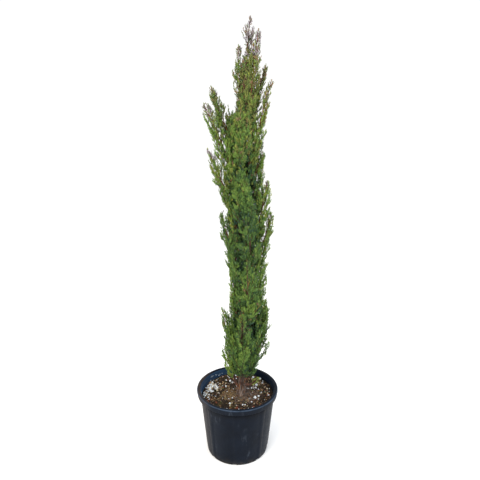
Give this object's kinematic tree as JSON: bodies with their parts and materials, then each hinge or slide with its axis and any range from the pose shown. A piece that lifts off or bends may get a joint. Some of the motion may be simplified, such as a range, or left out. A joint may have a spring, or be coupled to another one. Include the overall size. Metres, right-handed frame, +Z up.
{
  "type": "potted italian cypress",
  "caption": "Slender columnar evergreen with feathery upright plumes of scale foliage on a single leaning trunk, growing from potting mix in a round black nursery pot with a wide rim band.",
  "frame": {"origin": "centre of the pot's flat underside, on the ground", "axes": "+Z up the tree, +X to the right in the picture, +Y away from the camera"},
  "size_m": [0.3, 0.3, 1.5193],
  "materials": {
    "pot_plastic": "satin",
    "potting_mix": "matte",
    "bark": "matte",
    "foliage": "matte"
  },
  "bodies": {
    "root": {"bough_left_crest": "bark", "bough_left_low": "bark", "bough_left_middle": "bark", "bough_left_sprig": "bark", "bough_left_upper": "bark", "bough_low_stem": "bark", "bough_right_low": "bark", "bough_right_middle": "bark", "bough_right_spur": "bark", "bough_right_swell": "bark", "bough_right_upper": "bark", "bough_second_leader": "bark", "bough_soil_sprig": "bark", "foliage_back_low": "foliage", "foliage_body_01": "foliage", "foliage_body_02": "foliage", "foliage_body_03": "foliage", "foliage_body_04": "foliage", "foliage_body_05": "foliage", "foliage_body_06": "foliage", "foliage_body_07": "foliage", "foliage_body_08": "foliage", "foliage_body_09": "foliage", "foliage_body_10": "foliage", "foliage_body_11": "foliage", "foliage_body_12": "foliage", "foliage_body_13": "foliage", "foliage_body_14": "foliage", "foliage_body_15": "foliage", "foliage_leader": "foliage", "foliage_left_crest": "foliage", "foliage_left_low": "foliage", "foliage_left_middle": "foliage", "foliage_left_spire": "foliage", "foliage_left_sprig": "foliage", "foliage_left_upper": "foliage", "foliage_left_waist": "foliage", "foliage_low_stem": "foliage", "foliage_right_foot": "foliage", "foliage_right_low": "foliage", "foliage_right_middle": "foliage", "foliage_right_shoulder": "foliage", "foliage_right_spur": "foliage", "foliage_right_swell": "foliage", "foliage_right_upper": "foliage", "foliage_right_waist": "foliage", "foliage_second_leader": "foliage", "foliage_soil_sprig": "foliage", "pot": "pot_plastic", "soil": "potting_mix", "trunk": "bark"}
  },
  "joints": []
}
